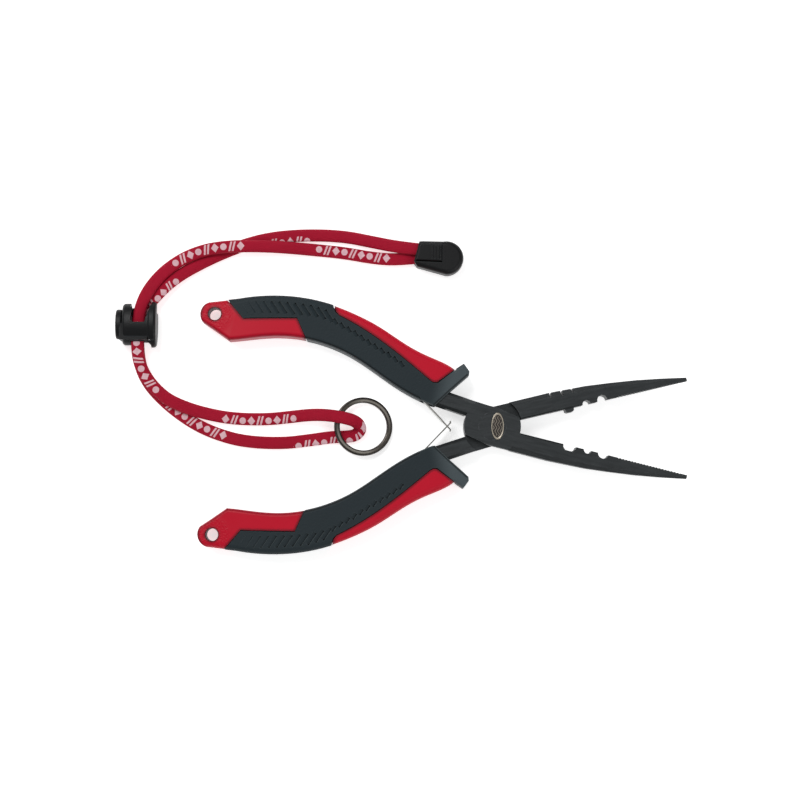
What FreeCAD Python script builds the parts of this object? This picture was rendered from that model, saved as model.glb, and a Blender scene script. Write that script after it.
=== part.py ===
import FreeCAD, Part
import math
import os

# Fishing pliers with a wrist lanyard.  Millimetres.
# The origin is on the pivot axis, on the flat underside of the lap joint.
# +X runs along the closed jaws to the tips, +Z is the pivot axis, and the part lies flat.
# Each half is drawn closed, with its jaw at -Y and its handle at +Y, then swung open.
# Half A is the upper lap of the joint.  Half B is the same drawing mirrored in Y.

V = FreeCAD.Vector
os.makedirs("parts", exist_ok=True)

# ---- driving dimensions -------------------------------------------------------------------------
OPEN_ANGLE = 13.5          # each half swings this far from closed to the open rest position
STEEL_T = 10.0             # thickness of the forged halves at the joint
MID_Z = STEEL_T / 2
LAP_GAP = 0.1              # running gap between the two laps
BLADE_T = 3.5              # thickness of the steel blade inside each grip
BOSS_R = 11.3              # round lap boss
SHOULDER_R = 11.75         # arc where a half steps up to full thickness beside the other's boss
BOSS_CHORD = 7.5           # distance from the pivot to the boss's two flat sides
BOSS_CHORD_TILT = 10.5
BOSS_LOW = 7.7             # the boss ends flush with the jaw on one side and the neck on the other
BOSS_HIGH = 7.6
NECK_BEVEL = 1.2
RIVET_R = 4.0
RIVET_HEAD_R = 5.6
RIVET_HEAD_T = 1.3
RIVET_GAP = 0.05

JAW_TIP_X = 80.3
JAW_FACE_GAP = 0.05        # each gripping face stands this far from the closed centre line
TOOTH_START = 52.0
TOOTH_END = 79.0
TOOTH_PITCH = 1.25
TOOTH_DEPTH = 0.45

GRIP_T = 13.0              # thickness of the soft cover
CORE_T = 12.4              # thickness of the red core where it shows
CORE_STEP = 0.2            # the red core lies this far inside the soft cover's outline
SKIN = 2.2                 # thickness of the soft cover's wall round the core
SKIN_Z = 1.6
OUTER_EDGE_R = 2.4         # rounding of the grip's long edges, away from and towards the other handle
INNER_EDGE_R = 1.6
GROOVE = 0.35              # line between the red and the dark surfaces, and how deep it is
GROOVE_DEPTH = 0.8
RIB_ANGLE = -43.0          # direction of the ribs in the closed drawing, and the tilt of their floors
RIB_TILT = 24.0
RIB_RISE = 0.32            # the middle of each rib's cutter stands this far above the face
RIB_W = 1.5
RIB_CUTTER_T = 1.4
LONG_RIBS = 12             # ribs in each row, and their lengths
LONG_RIB = 5.6
SHORT_RIBS = 11
SHORT_RIB = 2.6
FLOOR_Z = MID_Z - GRIP_T / 2
CEILING_Z = MID_Z + GRIP_T / 2
BELOW_ALL = -10.0          # heights that are clear of the whole part
ABOVE_ALL = 20.0

BUTT_HOLE = (-118.1, 16.8)
BUTT_HOLE_R = 2.5
BUTT_END = (-118.4, 16.5)
BUTT_END_R = 5.6

LEAF_PIN = (-32.4, 5.6)    # cross pin inside the grip that the leaf spring's eye turns on
LEAF_PIN_R = 0.75
LEAF_EYE_R = 1.35
LEAF_T = 0.5
LEAF_W = 6.8
LEAF_LENGTH = 19.9
LEAF_ANGLE = -33.0         # direction of the leaf in its own half's closed drawing, at rest
LEAF_NARROW = 15.2         # from here out one leaf is a tongue and the other has a slot
TONGUE_W = 2.6
SLOT_W = 3.4
LEAF_TIP = 0.7             # length of the hooked tip, and how far it is bent
LEAF_TIP_BEND = -55.0

CORD_W = 5.0               # flat tubular strap
CORD_T = 2.6
CORD_LIE = FLOOR_Z + CORD_T / 2

RING_CENTRE_X = -51.3
RING_CENTRE_Y = -0.2
RING_R = 11.75
RING_WIDTH = 2.2
RING_T = 2.3
RING_SPLIT = 0.12          # gap between its two coils
RING_EDGE_R = 0.5
RING_LIFT = 3.3            # the strap under its near side holds the ring up by this much


# ---- small helpers --------------------------------------------------------------------------------
def export(shape, node):
    if len(shape.Solids) == 1:
        shape = shape.Solids[0]
    print(node, "solids", len(shape.Solids), "valid", shape.isValid(), "volume", round(shape.Volume, 1))
    shape.exportStep("parts/" + node + ".step")


def polygon(points):
    corners = [V(x, y, 0) for x, y in points]
    return Part.Face(Part.makePolygon(corners + [corners[0]]))


def prism(face, z_low, z_high):
    placed = face.copy()
    placed.translate(V(0, 0, z_low))
    return placed.extrude(V(0, 0, z_high - z_low))


def block(x_low, x_high, y_low, y_high, z_low, z_high):
    return Part.makeBox(x_high - x_low, y_high - y_low, z_high - z_low, V(x_low, y_low, z_low))


def disc(x, y, radius, z_low, z_high):
    return Part.makeCylinder(radius, z_high - z_low, V(x, y, z_low))


def curve(points):
    spline = Part.BSplineCurve()
    spline.interpolate([V(x, y, 0) for x, y in points])
    return spline.toShape()


def line(start, end):
    return Part.LineSegment(V(start[0], start[1], 0), V(end[0], end[1], 0)).toShape()


def swing(shape, degrees):
    turned = shape.copy()
    turned.rotate(V(0, 0, 0), V(0, 0, 1), degrees)
    return turned


def place_half(shape, half):
    if half == "a":
        return swing(shape, -OPEN_ANGLE)
    return swing(shape.mirror(V(0, 0, 0), V(0, 1, 0)), OPEN_ANGLE)


# ---- forged steel halves ----------------------------------------------------------------------------
# x, width of the jaw outside its gripping face, half thickness, width of the bevel on its outer edge
JAW_STATIONS = [
    (4.0, 7.7, 5.0, 1.9),
    (25.0, 7.9, 5.0, 1.9),
    (40.0, 7.3, 4.4, 1.8),
    (50.0, 6.3, 3.8, 1.6),
    (60.0, 5.1, 3.1, 1.4),
    (70.0, 3.5, 2.3, 1.1),
    (JAW_TIP_X, 1.6, 1.5, 0.5),
]


def jaw_section(x, width, half_t, bevel):
    inner = -JAW_FACE_GAP
    ease = 0.12 * half_t
    half = [
        (inner, half_t - ease),
        (inner - ease, half_t),
        (bevel - width, half_t),
        (-width, half_t - 0.75 * bevel),
    ]
    lower = [(y, -z) for y, z in reversed(half)]
    corners = [V(x, y, MID_Z + z) for y, z in half + lower]
    return Part.makePolygon(corners + [corners[0]])


def jaw_blank():
    return Part.makeLoft([jaw_section(*station) for station in JAW_STATIONS], True, True)


def boss_blank():
    boss = disc(0, 0, BOSS_R, 0, STEEL_T)
    flats = block(-2 * BOSS_R, 2 * BOSS_R, -BOSS_CHORD, BOSS_CHORD, 0, STEEL_T)
    flush = block(-2 * BOSS_R, 2 * BOSS_R, -BOSS_LOW, BOSS_HIGH, 0, STEEL_T)
    return boss.common(swing(flats, -BOSS_CHORD_TILT)).common(flush)


def tang_blank():
    neck = [(-27.0, 2.9), (-12.0, 1.6), (-5.0, 1.6), (-1.0, 4.0),
            (-1.5, 7.6), (-10.0, 8.1), (-19.5, 9.0), (-27.0, 10.6)]
    root = prism(polygon(neck), 0, STEEL_T)
    long_edges = []
    for edge in root.Edges:
        box = edge.BoundBox
        if box.XLength > 6 and box.ZLength < 0.1:
            long_edges.append(edge)
    root = root.makeChamfer(NECK_BEVEL, long_edges)
    blade_low = curve([(-24.0, 4.2), (-40.0, 10.6), (-60.0, 18.4), (-76.0, 21.2), (-98.0, 17.6)])
    blade_high = curve([(-98.0, 21.6), (-76.0, 26.2), (-60.0, 23.4), (-40.0, 15.6), (-24.0, 9.2)])
    blade_end = line((-98.0, 17.6), (-98.0, 21.6))
    blade_root = line((-24.0, 9.2), (-24.0, 4.2))
    outline = Part.Wire([blade_low, blade_end, blade_high, blade_root])
    blade = prism(Part.Face(outline), MID_Z - BLADE_T / 2, MID_Z + BLADE_T / 2)
    return root, blade


def tooth_cuts():
    count = int((TOOTH_END - TOOTH_START) / TOOTH_PITCH)
    cuts = []
    for index in range(count):
        x = TOOTH_START + index * TOOTH_PITCH
        notch = [(x - 0.5, 0.2), (x + 0.5, 0.2), (x, -JAW_FACE_GAP - TOOTH_DEPTH)]
        cuts.append(prism(polygon(notch), -1, STEEL_T + 1))
    return cuts


def half_a_cuts():
    bead_pocket = [(29.0, 0.5), (29.3, -1.2), (30.3, -2.2), (33.1, -2.2), (34.2, -1.2), (34.5, 0.5)]
    return [
        prism(polygon(bead_pocket), -1, STEEL_T + 1),
        disc(39.1, 0.1, 1.6, -1, STEEL_T + 1),
        disc(45.5, 0.3, 2.2, -1, STEEL_T + 1),
    ]


def half_b_cuts():
    cuts = [
        disc(38.6, -0.1, 1.6, -1, STEEL_T + 1),
        disc(45.1, -0.3, 2.0, -1, STEEL_T + 1),
    ]
    # Side cutter slots, open on the outer edge and narrower at the bottom: x, bottom depth, slant.
    for x, bottom, slant in [(25.5, 5.8, 0.0), (30.0, 5.5, 0.1), (34.1, 5.9, 0.4)]:
        slot = [(x - 0.6, -9.0), (x + 0.6, -9.0), (x + slant + 0.3, -bottom), (x + slant - 0.3, -bottom)]
        cuts.append(prism(polygon(slot), -1, STEEL_T + 1))
    return cuts


def half_b_bead():
    bead = [(29.6, -1.0), (29.9, 1.0), (30.5, 1.5), (32.6, 1.5), (33.2, 1.0), (33.5, -1.0)]
    return prism(polygon(bead), MID_Z - 3.9, MID_Z + 3.9)


def rivet_shape(gap):
    shaft = disc(0, 0, RIVET_R + gap, 0, STEEL_T)
    for face_z, direction in [(0.0, 1.0), (STEEL_T, -1.0)]:
        wide = RIVET_HEAD_R + gap
        head = Part.makeCone(wide, RIVET_R + gap, RIVET_HEAD_T, V(0, 0, face_z), V(0, 0, direction))
        shaft = shaft.fuse(head)
    return shaft.removeSplitter()


def steel_half(half):
    root, blade = tang_blank()
    steel = jaw_blank().fuse([boss_blank(), root, blade])
    lap_low = MID_Z + LAP_GAP / 2
    if half == "a":
        steel = steel.cut(disc(0, 0, SHOULDER_R, -1, lap_low))
        steel = steel.cut(half_a_cuts() + tooth_cuts())
    else:
        steel = steel.fuse(half_b_bead())
        steel = steel.cut(disc(0, 0, SHOULDER_R, MID_Z - LAP_GAP / 2, STEEL_T + 1))
        steel = steel.cut(half_b_cuts() + tooth_cuts())
    return steel.cut([rivet_shape(RIVET_GAP), leaf_pocket()]).removeSplitter()


# ---- two-material grips -------------------------------------------------------------------------------
# x, inner edge y, outer edge y, thickness
GRIP_STATIONS = [
    (-19.0, 1.6, 18.0, 12.4),
    (-25.0, 2.2, 20.1, 12.8),
    (-35.0, 4.1, 21.9, 13.0),
    (-50.0, 9.4, 26.8, 13.0),
    (-62.0, 13.6, 30.1, 13.0),
    (-76.0, 15.6, 31.9, 13.0),
    (-90.0, 14.3, 31.1, 12.9),
    (-100.0, 11.3, 28.9, 12.5),
    (-110.0, 7.7, 25.3, 11.6),
]
BUTT_STATIONS = [
    (-110.0, 7.7, 25.3, 11.6),
    (-117.0, 10.45, 22.8, 9.8),
    (-125.0, 13.4, 19.9, 9.0),
]


def grip_section(x, inner, outer, thickness, inset, inset_z):
    low = inner + inset
    high = outer - inset
    half_t = thickness / 2 - inset_z
    quarters = [(high, half_t, -1, -1, OUTER_EDGE_R), (low, half_t, 1, -1, INNER_EDGE_R),
                (low, -half_t, 1, 1, INNER_EDGE_R), (high, -half_t, -1, 1, OUTER_EDGE_R)]
    corners = []
    for y_edge, z_edge, y_side, z_side, r in quarters:
        k = r * (1 - math.sqrt(0.5))
        side = (y_edge, z_edge + z_side * r)
        middle = (y_edge + y_side * k, z_edge + z_side * k)
        flat = (y_edge + y_side * r, z_edge)
        corners.append([side, middle, flat])
    corners[1].reverse()
    corners[3].reverse()
    points = [[V(x, y, MID_Z + z) for y, z in corner] for corner in corners]
    edges = []
    for index, (start, middle, end) in enumerate(points):
        edges.append(Part.Arc(start, middle, end).toShape())
        following = points[(index + 1) % 4][0]
        edges.append(Part.LineSegment(end, following).toShape())
    return Part.Wire(edges)


def grip_loft(stations, inset, inset_z, ruled):
    sections = [grip_section(*station, inset, inset_z) for station in stations]
    return Part.makeLoft(sections, True, ruled)


def grip_body(inset, inset_z):
    long_part = grip_loft(GRIP_STATIONS, inset, inset_z, False)
    butt = grip_loft(BUTT_STATIONS, inset, inset_z, True)
    end = disc(BUTT_END[0], BUTT_END[1], BUTT_END_R - inset, FLOOR_Z - 1, CEILING_Z + 1)
    end = end.fuse(block(BUTT_END[0], -100, 0, 40, FLOOR_Z - 1, CEILING_Z + 1))
    return long_part.fuse(butt.common(end))


def butt_zone(shrink):
    # Red butt: it runs forward under the dark palm pad and ends in a slanted tongue.
    back = (-106.6, 17.9 - shrink)
    nose = (-85.8, 23.2 - shrink)
    foot = (-78.0 - shrink, 13.0)
    upper = curve([back, (-96.3, 20.6 - shrink), nose])
    corners = [foot, (-78.0 - shrink, -5.0), (-140.0, -5.0), (-140.0, 42.3 - shrink), back]
    sides = [line(nose, foot)] + [line(a, b) for a, b in zip(corners, corners[1:])]
    return prism(Part.Face(Part.Wire([upper] + sides)), BELOW_ALL, ABOVE_ALL)


def strip_zone(shrink):
    # Red strip along the outer edge, from the palm pad to the thumb guard.
    start = (-70.0, 27.9 + shrink)
    end = (-28.4, 11.4 + shrink)
    lower = curve([start, (-60.0, 25.2 + shrink), (-45.0, 19.4 + shrink), end])
    corners = [end, (-26.9, 10.9 + shrink), (-25.2 - shrink, 11.3 + shrink),
               (-19.4 - shrink, 18.5), (-19.4 - shrink, 45.0), (-75.0 + shrink, 45.0),
               (-73.2 + shrink, 31.8), (-71.8 + shrink, 29.0 + shrink), start]
    sides = [line(a, b) for a, b in zip(corners, corners[1:])]
    return prism(Part.Face(Part.Wire([lower] + sides)), BELOW_ALL, ABOVE_ALL)


def guard_block():
    outline = [(-34.0, 8.0), (-25.6, 18.6), (-20.2, 18.0), (-17.0, 21.5), (-14.1, 19.0), (-13.9, 17.4),
               (-19.4, 9.6), (-24.2, 2.3), (-30.0, 3.4)]
    guard = prism(polygon(outline), FLOOR_Z, CEILING_Z)
    edges = []
    for edge in guard.Edges:
        box = edge.BoundBox
        if box.ZLength < 0.1 and box.XMax > -20.3:
            edges.append(edge)
    return guard.makeFillet(1.4, edges)


def leaf_pocket():
    x, y = LEAF_PIN
    room = disc(x, y, LEAF_EYE_R + 0.35, 0, STEEL_T)
    sides = []
    for degrees in (LEAF_ANGLE - 4.5, LEAF_ANGLE + 19.5):
        sides.append((x + 13 * math.cos(math.radians(degrees)), y + 13 * math.sin(math.radians(degrees))))
    mouth = prism(polygon([(x - 0.6, y - 0.9), sides[0], sides[1], (x + 0.3, y + 1.1)]), 0, STEEL_T)
    pocket = room.fuse(mouth)
    keep = block(x - 8, x + 14, y - 14, y + 5, MID_Z - LEAF_W / 2 - 0.3, MID_Z + LEAF_W / 2 + 0.3)
    return pocket.common(keep)


# Lines that the middles of the ribs stand on, in the closed drawing.
LONG_RIB_LINE = [(-107.6, 21.9), (-104.6, 22.8), (-92.6, 25.5), (-80.3, 27.3), (-73.7, 26.8)]
SHORT_RIB_LINE = [(-70.6, 25.3), (-67.3, 24.2), (-62.0, 22.7), (-56.6, 20.7), (-45.9, 17.2), (-40.9, 15.2)]


def stand_on(corners, count):
    path = Part.makePolygon([V(x, y, 0) for x, y in corners])
    return path.discretize(Number=count)


def rib_cuts():
    # Slanted louvre-like grooves on both faces of the palm pad, then short ones under the red strip.
    cuts = []
    rows = [(LONG_RIB_LINE, LONG_RIBS, LONG_RIB), (SHORT_RIB_LINE, SHORT_RIBS, SHORT_RIB)]
    half_w = RIB_W / 2
    half_t = RIB_CUTTER_T / 2
    for corners, count, length in rows:
        for middle in stand_on(corners, count):
            for face_z, side in [(CEILING_Z, 1), (FLOOR_Z, -1)]:
                groove = block(-length / 2, length / 2, -half_w, half_w, -half_t, half_t)
                groove.rotate(V(0, 0, 0), V(1, 0, 0), -RIB_TILT * side)
                groove.rotate(V(0, 0, 0), V(0, 0, 1), RIB_ANGLE)
                groove.translate(V(middle.x, middle.y, face_z + side * RIB_RISE))
                cuts.append(groove)
    return cuts


def grips(steel):
    pocket = leaf_pocket()
    hole = disc(BUTT_HOLE[0], BUTT_HOLE[1], BUTT_HOLE_R, FLOOR_Z - 1, CEILING_Z + 1)
    inner_core = grip_loft([station for station in GRIP_STATIONS if station[0] < -30], SKIN, SKIN_Z, False)
    red_zones = [butt_zone(0.0), strip_zone(0.0)]
    cover = grip_body(0.0, 0.0).cut(block(-24.8, 0, 0, 30, FLOOR_Z - 1, CEILING_Z + 1))
    cover = cover.fuse(guard_block()).cut(red_zones)
    cover = cover.cut([inner_core, steel, pocket, leaf_pin()] + rib_cuts())
    step_z = (GRIP_T - CORE_T) / 2
    shown = grip_body(CORE_STEP, step_z).common(butt_zone(GROOVE).fuse(strip_zone(GROOVE)))
    # The line round the red has a red floor, so that it doesn't open into the grip.
    sunk = grip_body(CORE_STEP + GROOVE_DEPTH, step_z + GROOVE_DEPTH).common(red_zones[0].fuse(red_zones[1]))
    core = shown.fuse([inner_core, sunk]).cut([steel, pocket, hole, leaf_pin()])
    return core, cover


# ---- leaf springs ---------------------------------------------------------------------------------------
def leaf_pin():
    return disc(LEAF_PIN[0], LEAF_PIN[1], LEAF_PIN_R, 0.2, STEEL_T - 0.2)


def leaf(half):
    low = MID_Z - LEAF_W / 2
    high = MID_Z + LEAF_W / 2
    eye = disc(0, 0, LEAF_EYE_R, low, high)
    strip = block(0.5, LEAF_LENGTH, LEAF_EYE_R - LEAF_T, LEAF_EYE_R, low, high)
    strip.translate(V(0, LEAF_T / 2 - LEAF_EYE_R, 0))
    tip = block(0, LEAF_TIP, -LEAF_T / 2, LEAF_T / 2, low, high)
    tip.rotate(V(0, 0, 0), V(0, 0, 1), LEAF_TIP_BEND)
    tip.translate(V(LEAF_LENGTH - 0.12, 0, 0))
    body = eye.fuse([strip, tip])
    if half == "a":
        for z_low, z_high in [(low - 1, MID_Z - TONGUE_W / 2), (MID_Z + TONGUE_W / 2, high + 1)]:
            body = body.cut(block(LEAF_NARROW, LEAF_LENGTH + 3, -3, 3, z_low, z_high))
    else:
        body = body.cut(block(LEAF_NARROW, LEAF_LENGTH - 0.7, -3, 3, MID_Z - SLOT_W / 2, MID_Z + SLOT_W / 2))
    body = body.cut(disc(0, 0, LEAF_PIN_R + RIVET_GAP, low - 1, high + 1)).removeSplitter()
    body.rotate(V(0, 0, 0), V(0, 0, 1), LEAF_ANGLE)
    body.translate(V(LEAF_PIN[0], LEAF_PIN[1], 0))
    return body


# ---- lanyard: strap, split ring, cord lock and end clip -----------------------------------------------
LIE = CORD_LIE
LOCK_X = -142.0
LOCK_LOW = 3.15            # heights of the two strands inside the cord lock
LOCK_HIGH = 5.9
CORD_ROUTE = [
    (-29.6, 71.3, 3.7), (-38.5, 72.3, 3.1), (-48.5, 74.6, 0.3), (-60.0, 76.9, LIE), (-75.0, 77.3, LIE),
    (-89.5, 76.0, LIE), (-101.4, 72.7, LIE), (-115.0, 66.8, LIE), (-128.4, 59.0, 0.6),
    (-137.0, 49.6, LOCK_LOW), (LOCK_X, 42.6, LOCK_LOW), (LOCK_X, 26.5, LOCK_LOW),
    (-138.4, 16.6, 0.8), (-129.6, 7.6, LIE),
    (-119.6, 0.6, LIE), (-110.4, -3.6, LIE), (-99.0, -6.6, LIE), (-84.0, -7.2, LIE), (-73.0, -5.8, LIE),
    (-64.0, -4.4, LIE), (-58.6, -4.3, LIE), (-54.4, -3.8, 0.4), (-52.2, -1.1, 1.8), (-54.0, 1.7, 3.9),
    (-58.6, 3.0, 6.0), (-65.6, 4.1, 6.0), (-72.8, 4.3, 3.0), (-80.5, 3.5, 0.2), (-90.5, 2.4, LIE),
    (-104.0, 2.6, LIE), (-115.4, 4.6, 1.4), (-125.0, 7.6, 2.9), (-131.8, 11.2, 3.2), (-138.6, 18.4, 3.9),
    (LOCK_X, 26.8, LOCK_HIGH), (LOCK_X, 42.0, LOCK_HIGH), (-139.4, 51.6, 5.2), (-133.6, 60.2, 2.6),
    (-125.6, 66.6, 1.5), (-116.6, 70.4, 1.9), (-107.0, 71.9, 2.8), (-95.5, 72.2, 2.8), (-84.5, 72.0, 1.5),
    (-73.0, 71.3, LIE), (-59.5, 70.1, LIE), (-48.5, 68.1, 0.1), (-38.5, 67.3, 0.9), (-29.6, 68.4, 1.05),
]


def rounded_path(route):
    points = [V(*p) for p in route]
    edges = []
    radii = []
    start = points[0]
    for before, corner, after in zip(points, points[1:], points[2:]):
        along_in = (corner - before).normalize()
        along_out = (after - corner).normalize()
        turn = along_in.getAngle(along_out)
        reach = 0.45 * min((corner - before).Length, (after - corner).Length)
        radius = reach / math.tan(turn / 2)
        radii.append(radius)
        enter = corner - along_in * reach
        leave = corner + along_out * reach
        to_centre = (along_out - along_in).normalize()
        middle = corner + to_centre * (radius / math.cos(turn / 2) - radius)
        edges.append(Part.LineSegment(start, enter).toShape())
        edges.append(Part.Arc(enter, middle, leave).toShape())
        start = leave
    edges.append(Part.LineSegment(start, points[-1]).toShape())
    return Part.Wire(edges), radii


def cord():
    path, radii = rounded_path(CORD_ROUTE)
    print("cord length", round(path.Length, 1), "smallest bends", [round(r, 1) for r in sorted(radii)[:8]])
    half_flat = CORD_W / 2 - CORD_T / 2
    half_t = CORD_T / 2
    x, y, z = CORD_ROUTE[0]
    corners = [V(x, y - half_flat, z - half_t), V(x, y + half_flat, z - half_t), V(x, y + CORD_W / 2, z),
               V(x, y + half_flat, z + half_t), V(x, y - half_flat, z + half_t), V(x, y - CORD_W / 2, z)]
    section = Part.Wire([
        Part.LineSegment(corners[0], corners[1]).toShape(),
        Part.Arc(corners[1], corners[2], corners[3]).toShape(),
        Part.LineSegment(corners[3], corners[4]).toShape(),
        Part.Arc(corners[4], corners[5], corners[0]).toShape(),
    ])
    area = Part.Face(section).Area
    sweep = Part.BRepOffsetAPI.MakePipeShell(path)
    sweep.setBiNormalMode(V(0, 0, 1))
    sweep.add(section)
    sweep.build()
    sweep.makeSolid()
    strap = sweep.shape()
    print("cord volume over section x length", round(strap.Volume / (area * path.Length), 4))
    return strap


def ring_pose(shape):
    # The near side lies on the strap and the far side lies on the table.
    tilt = math.degrees(math.asin(RING_LIFT / (2 * RING_R - RING_WIDTH)))
    near = V(RING_CENTRE_X - RING_R + RING_WIDTH / 2, RING_CENTRE_Y, 0)
    shape.rotate(V(0, 0, 0), V(0, 1, 0), tilt)
    shape.translate(near + V(0, 0, FLOOR_Z + RING_LIFT + RING_T / 2))
    return shape


def split_ring():
    # Two rounded coils, joined by a short ramp on the far side.
    offset = RING_R - RING_WIDTH / 2
    coil_t = RING_T / 2 - RING_SPLIT / 2
    coils = []
    for z_low in (-RING_T / 2, RING_SPLIT / 2):
        coil = disc(offset, 0, RING_R, z_low, z_low + coil_t)
        coil = coil.cut(disc(offset, 0, RING_R - RING_WIDTH, z_low - 1, z_low + 2))
        edges = [e for e in coil.Edges if e.BoundBox.ZLength < 0.01]
        coils.append(coil.makeFillet(RING_EDGE_R, edges))
    bridge = block(2 * offset - 0.7, 2 * offset + 0.7, -3.0, 0.0, -0.6, 0.6)
    return ring_pose(coils[0].fuse([coils[1], bridge]))


# Cord lock: a barrel with its axis along X.
LOCK_Y = 39.8
LOCK_Z = FLOOR_Z + 6.0
LOCK_LEFT = -148.0
LOCK_RIGHT = -134.4
LOCK_Y_SIZE = 18.4
LOCK_Z_SIZE = 12.0
STEM_Y_LOW = 33.4
STEM_Y_HIGH = 40.0
STEM_Z = 8.4
STEM_RIGHT = -138.0
PRESS = 1.8
SPRING_WIRE = 0.35
SPRING_R = 2.4


def oval_bar(x_low, x_high, y_size, z_size, ease):
    minor = z_size / 2
    ellipse = Part.Ellipse(V(x_low, LOCK_Y, LOCK_Z), y_size / 2, minor)
    ellipse.Axis = V(1, 0, 0)
    ellipse.XAxis = V(0, 1, 0)
    bar = Part.Face(Part.Wire(ellipse.toShape())).extrude(V(x_high - x_low, 0, 0))
    if ease > 0:
        bar = bar.makeFillet(ease, [e for e in bar.Edges if e.BoundBox.XLength < 0.01])
    return bar


def stem_bar(x_low, x_high, gap):
    half_z = STEM_Z / 2 + gap
    return block(x_low, x_high, STEM_Y_LOW - gap, STEM_Y_HIGH + gap, LOCK_Z - half_z, LOCK_Z + half_z)


def lock_body():
    barrel = oval_bar(LOCK_LEFT, LOCK_RIGHT - 1.0, LOCK_Y_SIZE - 1.6, LOCK_Z_SIZE - 1.0, 1.4)
    flange = oval_bar(LOCK_RIGHT - 3.4, LOCK_RIGHT, LOCK_Y_SIZE, LOCK_Z_SIZE, 1.1)
    body = barrel.fuse(flange)
    bore = stem_bar(LOCK_LEFT - 1, LOCK_RIGHT - 0.7, 0.1)
    recess = oval_bar(LOCK_LEFT - 1, LOCK_LEFT + PRESS + 0.15, 12.4, 9.0, 0)
    hole = block(LOCK_X - 2.75, -136.4, LOCK_Y - 12, LOCK_Y + 12, LOCK_Z - 3.1, LOCK_Z + 3.1)
    # The upper strand comes in over the barrel, the lower one under its right-hand lobe.
    upper_mouth = [(LOCK_X - 2.75, 40.4), (LOCK_X - 1.5, 50.0), (-136.0, 50.0), (-138.8, 40.4)]
    lower_mouth = [(LOCK_X - 2.75, 40.4), (-140.0, 50.0), (-130.0, 50.0), (-133.8, 45.0), (-138.8, 40.4)]
    mouths = [
        prism(polygon(upper_mouth), LOCK_Z - 3.1, LOCK_Z + 8),
        prism(polygon(lower_mouth), FLOOR_Z - 1, (LOCK_LOW + LOCK_HIGH) / 2 + 0.2),
    ]
    return body.cut([bore, recess, hole] + mouths)


def lock_plunger():
    head = oval_bar(LOCK_LEFT - 2.7, LOCK_LEFT - 0.05, 12.0, 8.6, 0.8)
    stem = stem_bar(LOCK_LEFT - 1.0, STEM_RIGHT, 0.0)
    hole = block(LOCK_X - 2.7 - PRESS, LOCK_X + 2.8, LOCK_Y - 9, LOCK_Y + 9, LOCK_Z - 3.1, LOCK_Z + 3.1)
    return head.fuse(stem).cut(hole)


def lock_spring():
    height = (LOCK_RIGHT - 0.7) - STEM_RIGHT - SPRING_WIRE - 0.1
    helix = Part.makeHelix(height / 3, height, SPRING_R)
    circle = Part.Wire(Part.Circle(V(SPRING_R, 0, 0), V(0, 1, 0), SPRING_WIRE / 2).toShape())
    sweep = Part.BRepOffsetAPI.MakePipeShell(Part.Wire(helix.Edges))
    sweep.setFrenetMode(True)
    sweep.add(circle)
    sweep.build()
    sweep.makeSolid()
    coil = sweep.shape()
    coil.rotate(V(0, 0, 0), V(0, 1, 0), 90)
    coil.translate(V(STEM_RIGHT + SPRING_WIRE / 2 + 0.05, (STEM_Y_LOW + STEM_Y_HIGH) / 2, LOCK_Z))
    return coil


# End clip: a base and a top panel.  The two ends of the strap lie one over the other between them.
CLIP_T = 8.4
CLIP_SEAT_Z = FLOOR_Z + CLIP_T - 1.2
CLIP_START_X = -40.0       # the outline is drawn past the mouth, then cut back to it
CLIP_MOUTH = [(-46.0, 58.0), (-29.2, 62.5), (-31.6, 66.2), (-29.4, 74.6), (-29.4, 80.0), (-46.0, 80.0)]
CLIP_SLOT = (-28.7, 65.35, -0.4, 5.15)     # blind end x, lower side y, low z and high z
CLIP_PANEL = [(-31.0, 66.6), (-29.2, 73.2), (-20.3, 73.2), (-20.3, 66.2)]
CLIP_SEAT = [(-36.0, 66.1), (-36.0, 73.3), (-20.2, 73.3), (-20.2, 65.7), (-31.0, 66.1)]
CLIP_RIDGES = [-24.2, -23.0, -21.8, -20.9]
CLIP_RIDGE_R = 0.36
CLIP_RIDGE_Y = 67.0
CLIP_RIDGE_LENGTH = 5.6
CLIP_LID_T = 1.7
CLIP_LID_EASE = 0.5
CLIP_RIM_R = 1.9


def clip_outline():
    top = line((CLIP_START_X, 73.6), (-28.0, 74.5))
    flat = line((-28.0, 74.5), (-19.8, 74.4))
    nose = Part.Arc(V(-19.8, 74.4, 0), V(-11.7, 67.6, 0), V(-18.6, 60.9, 0)).toShape()
    under = line((-18.6, 60.9), (CLIP_START_X, 66.7))
    start = line((CLIP_START_X, 66.7), (CLIP_START_X, 73.6))
    return Part.Face(Part.Wire([top, flat, nose, under, start]))


def clip_body():
    body = prism(clip_outline(), FLOOR_Z, FLOOR_Z + CLIP_T)
    rim = []
    for edge in body.Edges:
        box = edge.BoundBox
        if box.ZLength < 0.1 and box.XMax > CLIP_START_X + 0.1:
            rim.append(edge)
    body = body.makeFillet(CLIP_RIM_R, rim)
    slot_x, slot_y, slot_low, slot_high = CLIP_SLOT
    slot = block(slot_x - 8, slot_x, slot_y, slot_y + 12, slot_low, slot_high)
    seat = prism(polygon(CLIP_SEAT), CLIP_SEAT_Z, CLIP_SEAT_Z + 3)
    mouth = prism(polygon(CLIP_MOUTH), FLOOR_Z - 1, FLOOR_Z + CLIP_T + 1)
    return body.cut(mouth).cut(slot).cut(seat)


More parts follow.
